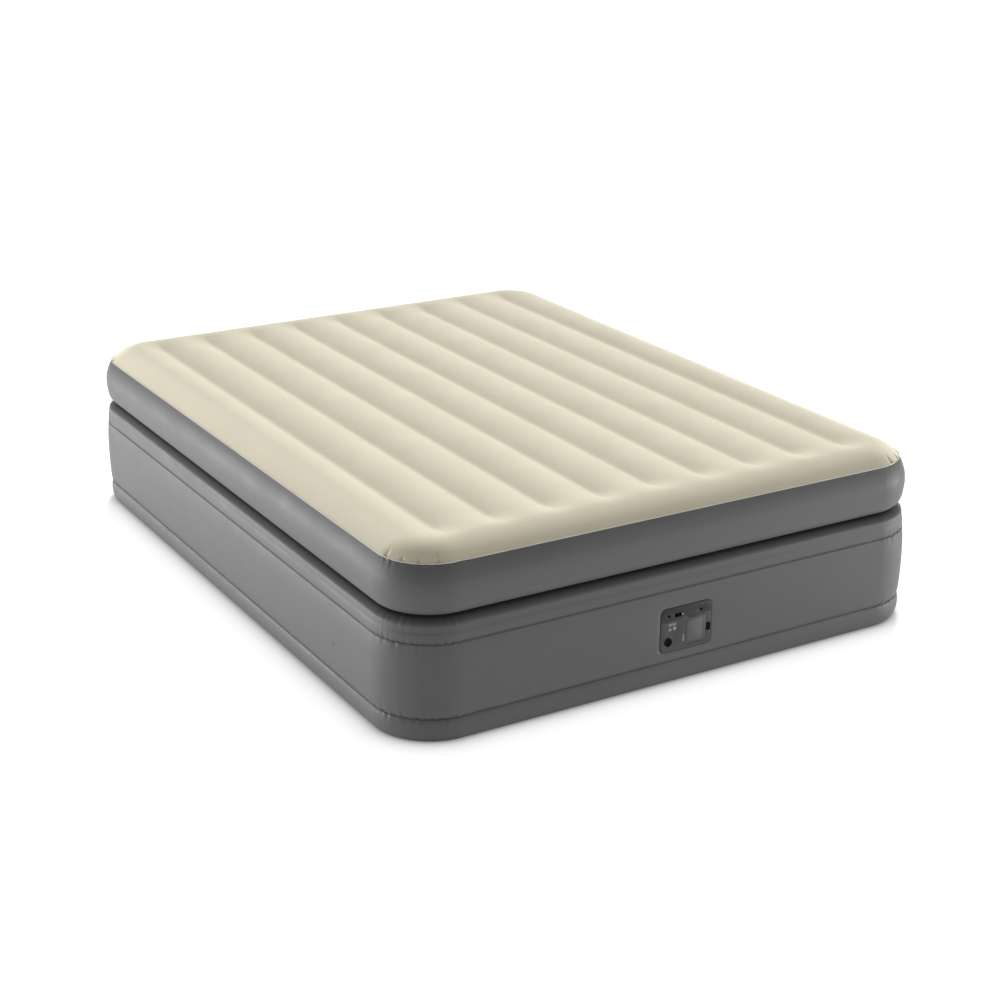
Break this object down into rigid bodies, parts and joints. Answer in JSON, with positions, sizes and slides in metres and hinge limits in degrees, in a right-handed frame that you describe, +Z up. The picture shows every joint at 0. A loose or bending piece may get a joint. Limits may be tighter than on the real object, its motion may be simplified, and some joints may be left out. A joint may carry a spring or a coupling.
{
  "type": "air mattress",
  "caption": "Raised double-chamber airbed with a ribbed flocked top, bulged side walls and a built-in pump with a hinged cord-store lid, power button and selector.",
  "frame": {"origin": "middle of the underside, on the floor", "axes": "+Z up, +Y from the foot end with the pump to the head end, +X to the right seen from the pump side"},
  "size_m": [1.5196, 1.9898, 0.46],
  "materials": {
    "cream_flock": "short velour flock on soft sheet",
    "grey_wall": "soft flocked vinyl sheet, low sheen",
    "weld_seam": "pressed weld line",
    "sole_sheet": "smooth vinyl sheet",
    "inner_sheet": "plain vinyl sheet",
    "pump_plastic": "fine texture",
    "lid_plastic": "fine texture",
    "control_black": "satin",
    "seal_rubber": "matt",
    "fan_plastic": "moulded",
    "steel_bright": "bright",
    "motor_steel": "plated",
    "bearing_bronze": "sintered"
  },
  "bodies": {
    "bed": {"bottom_band": "grey_wall", "bottom_sheet": "sole_sheet", "button_spring": "steel_bright", "cord_gland": "seal_rubber", "cord_tray": "pump_plastic", "diverter_guide": "pump_plastic", "face_gasket": "seal_rubber", "face_plate": "pump_plastic", "fan_housing": "pump_plastic", "front_bearing": "bearing_bronze", "lid_hinge_pin": "steel_bright", "lower_beam_1": "inner_sheet", "lower_beam_2": "inner_sheet", "lower_beam_3": "inner_sheet", "lower_beam_4": "inner_sheet", "lower_beam_5": "inner_sheet", "lower_belt": "weld_seam", "main_side_wall": "grey_wall", "middle_sheet": "sole_sheet", "motor_can": "motor_steel", "motor_end_cap": "control_black", "motor_magnets": "motor_steel", "outlet_duct": "pump_plastic", "panel_screws": "steel_bright", "power_switch": "control_black", "pump_tub": "pump_plastic", "rear_bearing": "bearing_bronze", "screw_bosses": "pump_plastic", "shoulder_wall": "grey_wall", "terminal_block": "control_black", "top_sheet": "cream_flock", "top_weld_bead": "weld_seam", "upper_beam_1": "inner_sheet", "upper_beam_2": "inner_sheet", "upper_beam_3": "inner_sheet", "upper_beam_4": "inner_sheet", "upper_beam_5": "inner_sheet", "upper_beam_6": "inner_sheet", "upper_beam_7": "inner_sheet", "upper_beam_8": "inner_sheet", "upper_beam_9": "inner_sheet", "upper_belt": "weld_seam", "upper_side_wall": "grey_wall", "valve_cage": "pump_plastic", "valve_seal": "seal_rubber", "valve_spring": "steel_bright", "weld_collar": "grey_wall"},
    "cord_lid": {"cord_store_lid": "lid_plastic"},
    "power_button": {"power_button": "control_black"},
    "selector": {"selector_knob": "control_black", "diverter_shutter": "control_black"},
    "rotor": {"motor_armature": "motor_steel", "motor_shaft": "steel_bright", "impeller": "fan_plastic"},
    "outlet_valve": {"outlet_valve_disc": "fan_plastic"}
  },
  "joints": [
    {"name": "cord_lid_hinge", "type": "hinge", "parent": "bed", "child": "cord_lid", "pos_m": [0.0035, -0.9915, 0.128], "axis": [0, 0, -1], "range_deg": [0, 95]},
    {"name": "power_button_press", "type": "slide", "parent": "bed", "child": "power_button", "axis": [0, 1, 0], "range_m": [0, 0.0025], "stiffness_N_per_m": 800, "springref_m": -0.001},
    {"name": "selector_slide", "type": "slide", "parent": "bed", "child": "selector", "axis": [1, 0, 0], "range_m": [-0.006, 0.006]},
    {"name": "rotor_spin", "type": "hinge", "parent": "bed", "child": "rotor", "pos_m": [-0.0325, -0.9235, 0.133], "axis": [0, 1, 0], "continuous": true},
    {"name": "outlet_valve_open", "type": "slide", "parent": "bed", "child": "outlet_valve", "axis": [0, 1, 0], "range_m": [0, 0.006], "stiffness_N_per_m": 60, "springref_m": -0.002}
  ]
}
